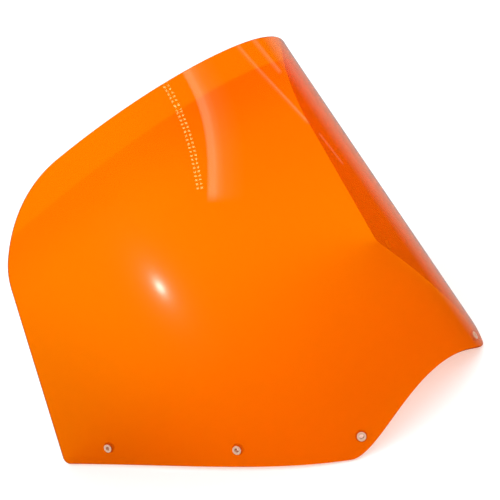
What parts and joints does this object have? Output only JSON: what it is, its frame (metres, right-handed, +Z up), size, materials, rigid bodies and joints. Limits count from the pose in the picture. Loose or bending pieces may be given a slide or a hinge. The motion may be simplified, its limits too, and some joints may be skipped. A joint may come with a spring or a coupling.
{
  "type": "wraparound tinted screen",
  "caption": "Raked wraparound screen of clear orange tinted plastic with an arched foot, a turned-out top lip and pale bushed fixings along its lower edge.",
  "frame": {"origin": "on the plane that the lower edge stands on, below the middle of the whole part", "axes": "+Z up from the seat plane, -Y towards the nose, X across the mirror plane"},
  "size_m": [0.5512, 0.352, 0.3732],
  "materials": {
    "tinted_sheet": "polished, transparent orange",
    "pale_nylon": "as moulded, natural"
  },
  "bodies": {
    "root": {"screen_panel": "tinted_sheet", "bush_front_left": "pale_nylon", "bush_middle_left": "pale_nylon", "bush_rear_left": "pale_nylon", "bush_front_right": "pale_nylon", "bush_middle_right": "pale_nylon", "bush_rear_right": "pale_nylon", "washer_front_left": "pale_nylon", "washer_middle_left": "pale_nylon", "washer_rear_left": "pale_nylon", "washer_front_right": "pale_nylon", "washer_middle_right": "pale_nylon", "washer_rear_right": "pale_nylon"}
  },
  "joints": []
}
